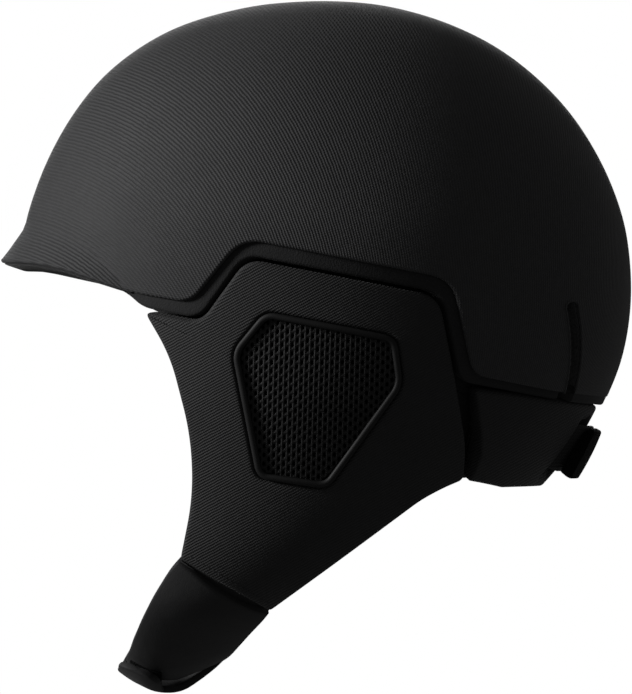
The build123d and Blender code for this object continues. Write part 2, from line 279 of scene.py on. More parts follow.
def border(phi, points, up=0.0):
    """Height at which each column phi of the form meets a side-view line, moved up square to itself."""
    line = raised_line(points, up)
    z = np.full(phi.shape, -15.0)
    for _ in range(60):
        z = 0.5 * z + 0.5 * line(around(phi, z)[:, 1])
    return z


# ---- meshes
def add_object(name, data):
    obj = bpy.data.objects.new(name, data)
    bpy.context.collection.objects.link(obj)
    return obj


def add_mesh(name, points, faces, material):
    """A smooth closed mesh from points in millimetres."""
    mesh = bpy.data.meshes.new(name)
    mesh.from_pydata((np.asarray(points) * MM).tolist(), [], faces)
    bm = bmesh.new()
    bm.from_mesh(mesh)
    bmesh.ops.remove_doubles(bm, verts=bm.verts, dist=1e-6)
    bmesh.ops.dissolve_degenerate(bm, edges=bm.edges, dist=1e-7)
    bmesh.ops.recalc_face_normals(bm, faces=bm.faces)
    bm.to_mesh(mesh)
    bm.free()
    mesh.shade_smooth()
    mesh.materials.append(material)
    return add_object(name, mesh)


def from_rings(name, rings, material, closed=False):
    """Quads between rings of equal length. Closed joins last to first; otherwise the ends are capped."""
    n = len(rings[0])
    points = np.vstack(rings)
    pairs = [(i, i + 1) for i in range(len(rings) - 1)]
    if closed:
        pairs.append((len(rings) - 1, 0))
    faces = []
    for a, b in pairs:
        for j in range(n):
            k = (j + 1) % n
            faces.append((a * n + j, a * n + k, b * n + k, b * n + j))
    if not closed:
        points = np.vstack([points, rings[0].mean(0), rings[-1].mean(0)])
        last = (len(rings) - 1) * n
        for j in range(n):
            k = (j + 1) % n
            faces.append((len(points) - 2, k, j))
            faces.append((len(points) - 1, last + j, last + k))
    return add_mesh(name, points, faces, material)


def roll(radius, steps=5):
    """(distance in from the edge, extra depth) over a rounded edge, from the face to the edge."""
    return [(radius * (1 - sin(a)), radius * (1 - cos(a))) for a in np.linspace(0, pi / 2, steps)]


def panel(name, outline, hole, outer, inner, edge, material, back_edge=0.6, spans=14):
    """Padded side panel between an outline and a hole, round-edged, from depth outer to inner."""
    front = [(e, outer + d) for e, d in roll(edge)]
    back = [(e, inner - d) for e, d in roll(back_edge, 4)][::-1]
    rim = front + back
    rings = [sink(on_side(grown(outline, -e)), d) for e, d in rim]
    rings += between(outline, hole, back_edge, inner, spans)
    rings += [sink(on_side(grown(hole, e)), d) for e, d in rim[::-1]]
    rings += between(outline, hole, edge, outer, spans)[::-1]
    return from_rings(name, rings, material, closed=True)


def between(outline, hole, margin, depth, spans):
    """Rings of one face of a side panel, from near its outline to near its hole."""
    far, near = grown(outline, -margin), grown(hole, margin)
    return [sink(on_side(far * (1 - t) + near * t), depth) for t in np.linspace(0, 1, spans + 1)[1:-1]]


def pillow(name, outline, chart, depth, height, material, rows=10):
    """Soft pad on the lining, thickest in its middle and pulled in along its edge."""
    mid = outline.mean(0)
    rings = []
    for t in np.linspace(0.02, 1, rows):
        rings.append(sink(chart(mid + (outline - mid) * t), depth))
    for t in np.cos(np.linspace(0, pi / 2, rows + 6))[:-1]:
        puff = height * (1 - t**5) ** 0.5
        rings.append(sink(chart(mid + (outline - mid) * t), depth + 0.2 + puff))
    return from_rings(name, rings, material)


def section_loop(half, thick, edge):
    """Rounded rectangle of (across from -1 to 1 times half, depth from 0 to thick)."""
    out = []
    flat = np.linspace(-1, 1, 15)
    corner = [(edge * (1 - sin(a)), edge * (1 - cos(a))) for a in np.linspace(0, pi / 2, 5)]
    out += [(w * (half - edge), 0.0) for w in flat[:-1]]
    out += [(half - e, d) for e, d in corner]
    out += [(half - e, thick - d) for e, d in corner[::-1]]
    out += [(-w * (half - edge), thick) for w in flat[1:-1]]
    out += [(-half + e, thick - d) for e, d in corner]
    out += [(-half + e, d) for e, d in corner[::-1][:-1]]
    return np.array(out)


def piping(name, path, radius, material, closed=True):
    """Round cord along a path of points in millimetres."""
    curve = bpy.data.curves.new(name, "CURVE")
    curve.dimensions = "3D"
    curve.bevel_depth = radius * MM
    curve.bevel_resolution = 3
    spline = curve.splines.new("POLY")
    spline.points.add(len(path) - 1)
    spline.points.foreach_set("co", np.hstack([path * MM, np.ones((len(path), 1))]).ravel())
    spline.use_cyclic_u = closed
    curve.use_fill_caps = not closed
    holder = add_object(name, curve)
    mesh = bpy.data.meshes.new_from_object(holder.evaluated_get(bpy.context.evaluated_depsgraph_get()))
    bpy.data.objects.remove(holder)
    mesh.name = name
    mesh.shade_smooth()
    mesh.materials.clear()
    mesh.materials.append(material)
    return add_object(name, mesh)


def stitches(name, path, outward, length, pitch, radius, material):
    """A row of separate raised stitches along a path; outward holds the direction out at each point."""
    run = running(path)
    points, faces = [], []
    for start in np.arange(pitch / 2, run[-1] - length, pitch):
        ends = [at_run(v, run, path) for v in (start, start + length)]
        out = at_run(start + length / 2, run, outward)
        along = (ends[1] - ends[0]) / np.linalg.norm(ends[1] - ends[0])
        side = np.cross(along, out)
        base = len(points)
        for f, w in ((0, 0.25), (0.2, 0.85), (0.5, 1), (0.8, 0.85), (1, 0.25)):
            mid = ends[0] * (1 - f) + ends[1] * f
            for turn in np.arange(6) * pi / 3:
                points.append(mid + (side * cos(turn) + out * sin(turn)) * radius * w)
        for low in range(base, base + 24, 6):
            for a in range(6):
                b = (a + 1) % 6
                faces.append((low + a, low + b, low + 6 + b, low + 6 + a))
        faces.append(tuple(base + a for a in range(5, -1, -1)))
        faces.append(tuple(base + 24 + a for a in range(6)))
    return add_mesh(name, points, faces, material)


def mirrored(obj, name):
    """The same piece on the wearer's right."""
    mesh = obj.data.copy()
    mesh.name = name
    bm = bmesh.new()
    bm.from_mesh(mesh)
    for v in bm.verts:
        v.co.x = -v.co.x
    bmesh.ops.reverse_faces(bm, faces=bm.faces)
    bm.to_mesh(mesh)
    bm.free()
    return add_object(name, mesh)


def cut(obj, cutter):
    """Takes the cutter's volume out of obj for good, and deletes the cutter."""
    tool = obj.modifiers.new("cut", "BOOLEAN")
    tool.object = cutter
    tool.solver = "EXACT"
    shape = bpy.data.meshes.new_from_object(obj.evaluated_get(bpy.context.evaluated_depsgraph_get()))
    obj.modifiers.clear()
    obj.data = shape
    bpy.data.objects.remove(cutter)
    bm = bmesh.new()
    bm.from_mesh(shape)
    for e in bm.edges:
        e.smooth = len(e.link_faces) != 2 or e.calc_face_angle(0) < radians(38)
    bm.to_mesh(shape)
    bm.free()


# ---- weave coordinates, kept on the mesh
def powers(y, z):
    """Terms of a cubic in y and z, and their slopes along y and along z."""
    y, z = y / 100, z / 100
    pairs = [(i, j) for i in range(4) for j in range(4 - i) if i + j]
    terms = np.stack([y**i * z**j for i, j in pairs], 1)
    along_y = np.stack([i * y ** max(i - 1, 0) * z**j for i, j in pairs], 1)
    along_z = np.stack([j * y**i * z ** max(j - 1, 0) for i, j in pairs], 1)
    return terms, along_y / 100, along_z / 100


def developed(y, z):
    """y, but measured along the cloth round the rear, and following the form where it narrows below."""
    c, s, _ = level(np.minimum(z, WIDEST_Z))
    middle, reach, half = (float(v) for v in level(WIDEST_Z))
    share = (y - c) / s
    turn = np.linspace(0, pi / 2, 400)
    step = np.sqrt(np.cos(turn) ** 2 + (half / reach * np.sin(turn)) ** 2) * turn[1]
    run = np.concatenate([[0], np.cumsum((step[1:] + step[:-1]) / 2)])
    round_rear = np.interp(np.arcsin(np.clip(share, 0, 1)), turn, run)
    return middle + reach * (round_rear + np.minimum(share, 0))


def dome_ribs(y, z):
    """Number of ribs from each point to the dome's foot, following RIBS; y is a developed one."""
    at = np.array(RIBS, float)
    stretch = developed(at[:, 0] + 0.5, at[:, 1]) - developed(at[:, 0] - 0.5, at[:, 1])
    _, along_y, along_z = powers(developed(at[:, 0], at[:, 1]), at[:, 1])
    slope = np.radians(at[:, 2])
    wanted = np.concatenate([np.sin(slope) / at[:, 3] / stretch, np.cos(slope) / at[:, 3]])
    share, *_ = np.linalg.lstsq(np.vstack([along_y, along_z]), wanted, rcond=None)
    return powers(y, z)[0] @ share


def weave(obj, kind):
    """Stores how far each point lies across and along the cloth's ribs, in metres."""
    co = np.array([v.co for v in obj.data.vertices]) / MM
    y, z = co[:, 1], co[:, 2]
    if kind == "dome":
        y = developed(y, z)
        across, along = dome_ribs(y, z), dome_ribs(-z, y)
    elif kind == "flap":
        across = (z * cos(FLAP_TILT) - y * sin(FLAP_TILT)) / FLAP_RIB
        along = (y * cos(FLAP_TILT) + z * sin(FLAP_TILT)) / FLAP_RIB
    else:
        across, along = z, co[:, 0]
    for name, values in (("across", across), ("along", along)):
        attribute = obj.data.attributes.new(name, "FLOAT", "POINT")
        attribute.data.foreach_set("value", values.astype(np.float32))


# ---- materials
class Nodes:
    """Small helper that adds and links shader nodes."""

    def __init__(self, name):
        self.material = bpy.data.materials.new(name)
        self.material.use_nodes = True
        self.tree = self.material.node_tree
        self.shader = self.tree.nodes["Principled BSDF"]

    def link(self, value, socket):
        if hasattr(value, "is_output"):
            self.tree.links.new(value, socket)
        else:
            socket.default_value = value

    def add(self, kind, **inputs):
        """A new shader node with some of its inputs set or linked."""
        node = self.tree.nodes.new("ShaderNode" + kind)
        for name, value in inputs.items():
            self.link(value, node.inputs[name])
        return node

    def math(self, operation, a, b=0.0):
        node = self.add("Math")
        node.operation = operation
        self.link(a, node.inputs[0])
        self.link(b, node.inputs[1])
        return node.outputs[0]

    def attribute(self, name):
        node = self.add("Attribute")
        node.attribute_name = name
        return node.outputs["Fac"]

    def place(self):
        return self.add("TexCoord").outputs["Object"]

    def noise(self, scale, detail=3.0):
        return self.add("TexNoise", Vector=self.place(), Scale=scale, Detail=detail).outputs["Fac"]

    def cells(self, scale):
        return self.add("TexVoronoi", Vector=self.place(), Scale=scale).outputs["Distance"]

    def wave(self, coordinate, pitch=1.0):
        """Smooth ridges from 0 to 1, one in each pitch."""
        turn = self.math("SINE", self.math("MULTIPLY", coordinate, 2 * pi / pitch))
        return self.math("MULTIPLY", self.math("ADD", turn, 1.0), 0.5)

    def mix(self, factor, low, high):
        node = self.add("Mix")
        node.data_type = "RGBA"
        self.link(factor, node.inputs["Factor"])
        self.link((*low, 1), node.inputs["A"])
        self.link((*high, 1), node.inputs["B"])
        return node.outputs["Result"]

    def bump(self, height, distance, strength=1.0, under=None):
        node = self.add("Bump", Height=height, Distance=distance, Strength=strength)
        if under:
            self.link(under, node.inputs["Normal"])
        return node.outputs[0]

    def finish(self, color, roughness, normal, sheen=0.0, specular=0.5):
        self.link(color, self.shader.inputs["Base Color"])
        self.link(roughness, self.shader.inputs["Roughness"])
        self.link(normal, self.shader.inputs["Normal"])
        self.shader.inputs["Sheen Weight"].default_value = sheen
        self.shader.inputs["Sheen Roughness"].default_value = 0.4
        self.shader.inputs["Specular IOR Level"].default_value = specular
        return self.material


def ribbed_fabric(name, dark, light):
    """Matte cloth with round ribs, each broken by fine cross threads."""
    n = Nodes(name)
    wander = n.math("MULTIPLY", n.noise(330, 2), 0.5)
    ribs = n.wave(n.math("ADD", n.attribute("across"), wander))
    threads = n.wave(n.math("ADD", n.attribute("along"), wander), 0.8)
    height = n.math("ADD", ribs, n.math("MULTIPLY", threads, 0.3))
    shade = n.math("MULTIPLY", n.math("ADD", height, n.noise(420)), 0.5)
    color = n.mix(shade, dark, light)
    normal = n.bump(height, 0.00026, 0.66, n.bump(n.noise(2600), 0.00008))
    roughness = n.math("ADD", n.math("MULTIPLY", n.noise(60), 0.1), 0.66)
    return n.finish(color, roughness, normal, sheen=0.05, specular=0.3)


def knit_fabric(name, dark, light, scale=1500):
    """Smooth stretch cloth with a fine looped grain."""
    n = Nodes(name)
    loops = n.cells(scale)
    color = n.mix(n.math("MULTIPLY", n.math("ADD", loops, n.noise(90)), 0.55), dark, light)
    normal = n.bump(loops, 0.00014, 0.7, n.bump(n.noise(150), 0.0003, 0.3))
    return n.finish(color, 0.82, normal, sheen=0.06, specular=0.25)


def neoprene(name, dark, light):
    """Laminated neoprene: a soft, slightly uneven face with a fine pebble."""
    n = Nodes(name)
    grain = n.cells(2400)
    color = n.mix(n.noise(55), dark, light)
    normal = n.bump(grain, 0.00009, 0.6, n.bump(n.noise(70, 4), 0.0012, 0.35))
    return n.finish(color, 0.72, normal, sheen=0.03, specular=0.2)


def moulded(name, dark, light):
    """Satin moulded plastic with a spark-eroded grain."""
    n = Nodes(name)
    color = n.mix(n.noise(120), dark, light)
    normal = n.bump(n.noise(3200, 2), 0.00005, 0.8)
    roughness = n.math("ADD", n.math("MULTIPLY", n.noise(45), 0.12), 0.56)
    return n.finish(color, roughness, normal, specular=0.25)


def foam(name, dark, light):
    """Closed-cell foam with fine open pores on its cut faces."""
    n = Nodes(name)
    pores = n.cells(1100)
    color = n.mix(pores, dark, light)
    return n.finish(color, 0.85, n.bump(pores, 0.0003, 0.6), specular=0.2)


def hook_and_loop(name, dark, light):
    """Dense napped pile."""
    n = Nodes(name)
    pile = n.math("ADD", n.cells(1900), n.noise(3000, 2))
    color = n.mix(n.math("MULTIPLY", pile, 0.6), dark, light)
    return n.finish(color, 0.95, n.bump(pile, 0.0004, 0.9), sheen=0.02, specular=0.1)


def webbing(name, dark, light):
    """Flat woven strap with ribs across its length."""
    n = Nodes(name)
    ribs = n.wave(n.attribute("across"), 1.3)
    threads = n.wave(n.attribute("along"), 0.9)
    height = n.math("ADD", ribs, n.math("MULTIPLY", threads, 0.5))
    color = n.mix(n.math("MULTIPLY", height, 0.6), dark, light)
    return n.finish(color, 0.75, n.bump(height, 0.00022, 0.8), sheen=0.05, specular=0.3)


def open_mesh(name, dark, light):
    """Sheer screen of fine crossing threads."""
    n = Nodes(name)
    net = n.cells(1300)
    return n.finish(n.mix(net, dark, light), 0.8, n.bump(net, 0.0003, 0.8), specular=0.2)


SHELL_CLOTH = ribbed_fabric("shell_cloth", (0.0105, 0.0105, 0.0109), (0.034, 0.034, 0.0352))
FLAP_CLOTH = ribbed_fabric("flap_cloth", (0.0048, 0.0048, 0.005), (0.0178, 0.0178, 0.0183))
EDGE_KNIT = knit_fabric("edge_knit", (0.0058, 0.0058, 0.006), (0.0165, 0.0165, 0.017))
LINING_KNIT = knit_fabric("lining_knit", (0.010, 0.010, 0.0105), (0.027, 0.027, 0.028), 900)
PAD_KNIT = knit_fabric("pad_knit", (0.013, 0.013, 0.0135), (0.032, 0.032, 0.033), 700)
NEOPRENE = neoprene("neoprene", (0.0125, 0.0125, 0.0128), (0.0215, 0.0215, 0.022))
ELASTIC = neoprene("elastic", (0.0035, 0.0035, 0.0036), (0.007, 0.007, 0.0072))
PLASTIC = moulded("vent_plastic", (0.0042, 0.0042, 0.0043), (0.0072, 0.0072, 0.0073))
FOAM = foam("foam", (0.012, 0.012, 0.012), (0.035, 0.035, 0.035))
HOOKS = hook_and_loop("hook_and_loop", (0.001, 0.001, 0.001), (0.0035, 0.0035, 0.0035))
WEB = webbing("webbing", (0.0035, 0.0035, 0.0036), (0.012, 0.012, 0.0123))
SCREEN = open_mesh("ear_screen", (0.002, 0.002, 0.002), (0.010, 0.010, 0.010))
THREAD = neoprene("thread", (0.018, 0.018, 0.0185), (0.03, 0.03, 0.031))


def ready(obj, body, slot, *nodes):
    """Rides the piece on its body and hides the CAD nodes it stands for; slot, the finish's name, is not
    used.
    """
    if nodes:
        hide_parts(*nodes)
    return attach(obj, body)


def pair(left, name, body, slot, *nodes):
    """Readies a left piece and its mirror image; body and node names get _left and _right."""
    right = mirrored(left, f"{name}_right")
    for obj, side in ((left, "left"), (right, "right")):
        ready(obj, body if body == "shell" else f"{body}_{side}", slot, *[f"{n}_{side}" for n in nodes])
    return left, right


# ---- dome
def even_columns(points, n):
    """n columns round the form, evenly spaced along the curve in which a line meets it."""
    phi = np.linspace(0, 2 * pi, 4001)
    run = running(around(phi, border(phi, points)))
    return np.interp(np.linspace(0, run[-1], n, endpoint=False), run, phi)


def rolled(phi, points, outer, inner, edge, back_edge, steps):
    """(heights, depth) of the rings over a lower edge, from depth outer in front to inner behind."""
    rims = [(e, outer + d) for e, d in roll(edge)]
    rims += [(e, inner - d) for e, d in roll(back_edge, steps)[::-1]]
    return [(border(phi, points, e), d) for e, d in rims]


def dome_layer(name, points, outer, inner, edge, columns, rows, material):
    """Closed cap of the form above a line, from depth outer to inner, with a rounded lower edge."""
    phi = even_columns(points, columns)
    rims = rolled(phi, points, outer, inner, edge, 0.3, 3)
    out = [sink(around(phi, TOP_Z + (rims[0][0] - TOP_Z) * sin(a) ** 2), outer)
           for a in np.linspace(0.02, 0.995, rows) * pi / 2]
    back = [sink(around(phi, TOP_Z + (rims[-1][0] - TOP_Z) * sin(a) ** 2), inner)
            for a in np.linspace(0.995, 0.02, rows // 2) * pi / 2]
    rings = out + [sink(around(phi, z), d) for z, d in rims] + back
    return from_rings(name, rings, material)


def slot_points(run, across):
    """(x, z) at distances down the left slot from its upper round centre, and across it."""
    x = SLOT_TOP[0] - (run + SLOT_W / 2) * sin(SLOT_LEAN) + across * cos(SLOT_LEAN)
    z = SLOT_TOP[1] - (run + SLOT_W / 2) * cos(SLOT_LEAN) - across * sin(SLOT_LEAN)
    return np.stack([x, z], 1)


def slot_outline(length, steps):
    """Open outline of the left slot, up its inner side, over its round top and down its outer side."""
    r = SLOT_W / 2
    down = np.linspace(length, 0, steps)
    turn = np.linspace(pi, 0, 15)[1:-1]
    run = np.concatenate([down, -r * np.sin(turn), down[::-1]])
    across = np.concatenate([np.full(steps, -r), r * np.cos(turn), np.full(steps, r)])
    return slot_points(run, across)


def slot_cutter(side):
    """Prism of a slot, cut through the rear of the shell from below."""
    loop = slot_outline(SLOT_CUT, 2)
    rings = [np.stack([side * loop[:, 0], np.full(len(loop), y), loop[:, 1]], 1) for y in (60.0, 150.0)]
    return from_rings("cutter", rings, SHELL_CLOTH)


def slot_lip():
    """Thin rolled lip round the left slot, open at the bottom."""
    path = sink(on_rear(*slot_outline(SLOT_LIP, 24).T), 0.35)
    return piping("slot_lip_left", path, 0.7, SHELL_CLOTH, closed=False)


def build_dome():
    skin = dome_layer("dome_skin", STEP_LINE, 0.0, COVER_IN, 1.1, 720, 110, SHELL_CLOTH)
    phi = even_columns(EDGE_LINE, 720)
    edge = around(phi, border(phi, EDGE_LINE))
    tongue = (np.abs(edge[:, 0]) < TONGUE_X) & (edge[:, 1] > 0)
    step = np.where(tongue, TONGUE_SINK, STEP_SINK)
    low = rolled(phi, EDGE_LINE, step, SHELL_IN, 1.3, 0.8, 4)
    high = border(phi, STEP_LINE, 3.0)
    rows = np.linspace(0, 1, 9)[1:-1]
    rings = [sink(around(phi, high), step + 0.1)]
    rings += [sink(around(phi, high + (low[0][0] - high) * t), step) for t in rows]
    rings += [sink(around(phi, z), d) for z, d in low]
    rings += [sink(around(phi, low[-1][0] + (high - low[-1][0]) * t), SHELL_IN) for t in rows]
    rings += [sink(around(phi, high), SHELL_IN)]
    band = from_rings("edge_band_cloth", rings, EDGE_KNIT, closed=True)
    for side in (1, -1):
        cut(skin, slot_cutter(side))
        cut(band, slot_cutter(side))
    weave(skin, "dome")
    ready(skin, "shell", "ribbed_fabric", "shell_cover")
    ready(band, "shell", "smooth_fabric", "edge_band", "rear_edge_band")
    lip = slot_lip()
    weave(lip, "dome")
    pair(lip, "slot_lip", "shell", "ribbed_fabric")
    liner = dome_layer("inner_lining", EDGE_LINE, SHELL_IN + 0.1, LINER_IN, 0.8, 480, 60, LINING_KNIT)
    ready(liner, "shell", "smooth_fabric", "inner_liner")
    path = sink(around(phi, border(phi, EDGE_LINE, 0.9)), SHELL_IN + 1.0)
    ready(piping("lining_binding", path, 1.1, EDGE_KNIT), "shell", "smooth_fabric")


# ---- peak
PEAK_END_Y = -78.0


def peak_frame(n):
    """Angles of the peak from right to left, how far it flares at each, and its lower edge."""
    left = np.linspace(0.01, 1.4, 500)
    trial = around(left, border(left, STEP_LINE))
    end = np.interp(PEAK_END_Y, trial[:, 1], left)
    phi = np.linspace(-end, end, n)
    low = border(phi, STEP_LINE)
    y = around(phi, low)[:, 1]
    share = np.clip((PEAK_END_Y - y) / (PEAK_END_Y + 122), 0, 1)
    return phi, np.sin(share * pi / 2) ** 1.1, low


def flared(phi, z, out):
    """Points beside the form at height z, pushed straight out from it."""
    p = around(phi, z)
    c, s, h = level(z)
    p[:, :2] += unit(np.stack([p[:, 0] / h**2, (p[:, 1] - c) / s**2], 1)) * out[:, None]
    return p


def peak_layer(name, outline, least, material):
    """Peak with a cross-section of (up, out); at its ends only a least share of the height is left."""
    phi, flare, low = peak_frame(260)
    tuck = 0.9 * (1 - flare) ** 3
    sides = []
    for up, out in outline:
        reach = (out * flare if out > 0 else out) - tuck
        sides.append(flared(phi, low + up * (least + (1 - least) * flare), reach))
    return from_rings(name, list(np.stack(sides, 1)), material)


def build_peak():
    lip = 1.15
    # Height above the lower edge and how far out the skin stands, down over the lip and back inside.
    outline = [(19, -0.4), (16, 0.05), (13, 0.75), (10.2, 2.35), (7.6, 4.0), (5.2, 5.55), (3.2, 7.05),
               (1.9, 8.0)]
    outline += [(lip * (1 - sin(a)), 8.55 - lip + lip * cos(a)) for a in np.linspace(-0.2, pi / 2, 6)]
    outline += [(0.05, 4.5), (0.1, 1.0), (1.5, -1.2), (9, -1.2), (17, -1.2)]
    peak = peak_layer("peak_shell", outline, 0.35, SHELL_CLOTH)
    weave(peak, "dome")
    ready(peak, "shell", "ribbed_fabric", "peak_core", "peak_lip")
    under = [(0.3, 6.6), (-0.3, 7.2), (-0.9, 6.2), (-2.0, 3.0), (-3.2, -0.6), (-3.4, -1.8), (-1.0, -2.2),
             (0.3, 2.0)]
    ready(peak_layer("peak_underside", under, 0.2, EDGE_KNIT), "shell", "smooth_fabric", "peak_lining")


# ---- comfort pads
def on_wrap(middle):
    """Chart of (millimetres round the form from an angle, height)."""
    def chart(loop):
        return around(middle + loop[:, 0] / 100.0, loop[:, 1])
    return chart


def build_pads():
    box = resample(rounded([(-56, 2, 7), (56, 2, 7), (56, 26, 9), (-56, 26, 9)]), 160)
    front = pillow("forehead_cushion", box, on_wrap(0.0), LINER_IN, PAD_T, PAD_KNIT)
    box = resample(rounded([(-42, -40, 9), (42, -40, 9), (42, -6, 9), (-42, -6, 9)]), 160)
    rear = pillow("rear_cushion", box, on_wrap(pi), LINER_IN, PAD_T, PAD_KNIT)
    turn = np.linspace(0, 2 * pi, 120, endpoint=False)
    ring = np.stack([34 * np.cos(turn), -4 + 34 * np.sin(turn)], 1)
    crown = pillow("crown_cushion", ring, on_top, LINER_IN, PAD_T, PAD_KNIT)
    for obj, node in ((front, "forehead_pad"), (rear, "rear_pad"), (crown, "crown_pad")):
        ready(obj, "shell", "smooth_fabric", node)
    loop = resample(rounded([(-34, 12, 7), (30, 4, 7), (34, 30, 7), (-30, 38, 7)]), 140)
    side = pillow("side_cushion_left", loop, on_side, LINER_IN, PAD_T, PAD_KNIT)
    for obj in pair(side, "side_cushion", "shell", "smooth_fabric", "side_pad"):
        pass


# ---- ear flaps
def vent_lattice(outline, depth, thick):
    """Moulded plate full of staggered long holes, with a low rib up each row of metal between them."""
    ys, zs = outline[:, 0], outline[:, 1]
    bm = bmesh.new()
    hole = [(HOLE_W / 2 * a, HOLE_H / 2 * b)
            for a, b in ((0, 1), (-1, 0.5), (-1, -0.5), (0, -1), (1, -0.5), (1, 0.5))]
    tile = [(PITCH_Y / 2 * a, PITCH_Z / 2 * b)
            for a, b in ((0, 1), (-1, 1), (-1, 0), (-1, -1), (0, -1), (1, -1), (1, 0), (1, 1))]
    # Two corners of the tile and one or two of the hole for each face between them.
    spans = [(0, 1, 1, 0), (1, 2, 1, 1), (2, 3, 2, 1), (3, 4, 3, 2), (4, 5, 4, 3), (5, 6, 4, 4),
             (6, 7, 5, 4), (7, 0, 0, 5)]
    for i in range(int((ys.max() - ys.min()) / PITCH_Y) + 4):
        for j in range(int((zs.max() - zs.min()) / PITCH_Z) + 3):
            cz = zs.min() - PITCH_Z + (j + (i % 2) * 0.5) * PITCH_Z
            cy = ys.min() - PITCH_Y + i * PITCH_Y
            outer = [bm.verts.new((0, cy + a, cz + b)) for a, b in tile]
            inner = [bm.verts.new((1, cy + a, cz + b)) for a, b in hole]
            for a, b, c, d in spans:
                corners = [outer[a], outer[b], inner[c]] + ([inner[d]] if c != d else [])
                bm.faces.new(corners)
    bmesh.ops.remove_doubles(bm, verts=bm.verts, dist=0.02)
    for a, b in zip(outline, np.roll(outline, -1, 0)):
        out = np.array([b[1] - a[1], a[0] - b[0]])
        out *= np.sign(np.dot(out, a - np.array(VENT_MID)))
        geometry = bm.verts[:] + bm.edges[:] + bm.faces[:]
        bmesh.ops.bisect_plane(bm, geom=geometry, dist=1e-4, plane_co=(0, a[0], a[1]),
                               plane_no=(0, out[0], out[1]), clear_outer=True)
    made = bmesh.ops.extrude_face_region(bm, geom=bm.faces[:])
    low = {v for v in made["geom"] if isinstance(v, bmesh.types.BMVert)}
    for v in bm.verts:
        rib = GRILLE_RIB * (1 - min(max(v.co.x, 0), 1))
        y = v.co.y + HOLE_LEAN * (v.co.z - VENT_MID[1])
        p = sink(on_side(np.array([[y, v.co.z]])), depth + thick if v in low else depth - rib)[0]
        v.co = Vector(p * MM)
    bmesh.ops.recalc_face_normals(bm, faces=bm.faces)
    mesh = bpy.data.meshes.new("vent_lattice")
    bm.to_mesh(mesh)
    bm.free()
    mesh.materials.append(PLASTIC)
    return add_object("vent_lattice_left", mesh)


def build_ear_flaps():
    outline = by_angle(rounded(FLAP), VENT_MID, 720)
    vent = by_angle(rounded(VENT), VENT_MID, 720)
    skin = panel("flap_skin_left", outline, grown(vent, 0.1), FLAP_SINK, FLAP_IN, 1.6, FLAP_CLOTH,
                 back_edge=1.8, spans=26)
    weave(skin, "flap")
    pair(skin, "flap_skin", "ear_flap", "ribbed_fabric", "ear_flap_cover", "ear_flap_foam")
    inner = grown(vent, -VENT_RIM)
    space = grown(vent, -VENT_RIM - 4.5)
    lining = panel("flap_lining_left", grown(outline, -2.2), space, FLAP_IN + 0.05, FLAP_LINED, 0.5,
                   LINING_KNIT)
    pair(lining, "flap_lining", "ear_flap", "smooth_fabric", "ear_flap_lining")
    rim = panel("vent_frame_left", vent, inner, FLAP_SINK - 0.9, FLAP_IN - 0.3, 1.15, PLASTIC, spans=3)
    pair(rim, "vent_frame", "ear_flap", "vent_plastic", "ear_vent_rim")
    edge = resample(grown(by_angle(rounded(VENT), VENT_MID, 360), -VENT_RIM - 0.1 + 0.35), 48)
    lattice = vent_lattice(edge, FLAP_SINK + 0.9, 1.5)
    pair(lattice, "vent_lattice", "ear_flap", "vent_plastic", "ear_vent_grille")
    big, small = grown(vent, 4.5), grown(vent, -VENT_RIM - 4.6)
    puffs = [(t, 0.3 + 4.7 * sin(pi * t) ** 0.55) for t in np.linspace(0, 1, 18)]
    puffs += [(t, 0.0) for t in np.linspace(1, 0, 5)]
    rings = [sink(on_side(big * (1 - t) + small * t), FLAP_LINED + puff) for t, puff in puffs]
    cushion = from_rings("ear_cushion_left", rings, PAD_KNIT, closed=True)
    for obj in pair(cushion, "ear_cushion", "ear_flap", "smooth_fabric", "ear_pad"):
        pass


def soft_strips(name, middle, square, loop, depth, node=None):
    """A neoprene strip on each side; names get _left and _right.

    Its middle line and the direction across it are in side view."""
    for side, sign in (("left", 1), ("right", -1)):
        flat = [point + np.array(square) * loop[:, :1] for point in middle]
        sections = [sink(on_side(f), depth + loop[:, 1]) * (sign, 1, 1) for f in flat]
        strip = from_rings(f"{name}_{side}", sections, NEOPRENE)
        if node:
            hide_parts(f"{node}_{side}")
        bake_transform(strip)


def build_flap_hinges():
    """Soft strips inside, from the shell's edge down to each ear flap."""
    y = np.linspace(-28, 38, 60)
    middle = np.stack([y, -13.8 - 0.2 * y], 1)
    soft_strips("hinge_strip", middle, (0, -1), section_loop(4.2, 1.2, 0.4), LINER_IN + 0.4,
                "flap_hinge_strip")


def build_gussets():
    """Soft cloth behind the gap between each ear flap and the nape."""
    y = np.linspace(44, 71, 28)
    middle = np.stack([y, np.full(28, -72.5)], 1)
    soft_strips("gusset", middle, (0, 1), section_loop(25.3, 1.2, 0.4), FLAP_LINED + 0.3,
                "nape_gusset")


def build_seam_strips():
    """Soft strip behind each seam, which keeps it closed."""
    t = np.linspace(0, 1, 40)[:, None]
    middle = np.array([SEAM_FRONT]) * (1 - t) + np.array([SEAM_REAR]) * t
    soft_strips("seam_strip", middle, SEAM_DOWN, section_loop(5.5, 1.1, 0.35), FLAP_SINK + 3.2)


def edge_frames(first, last, n):
    """Points along the edge line between two y values, and the directions square to it, pointing up."""
    path = resample(rounded(EDGE_LINE, closed=False), 4000, closed=False)
    path = path[(path[:, 0] > first) & (path[:, 0] < last)]
    path = resample(path, n, closed=False)
    return path, square_to(path)


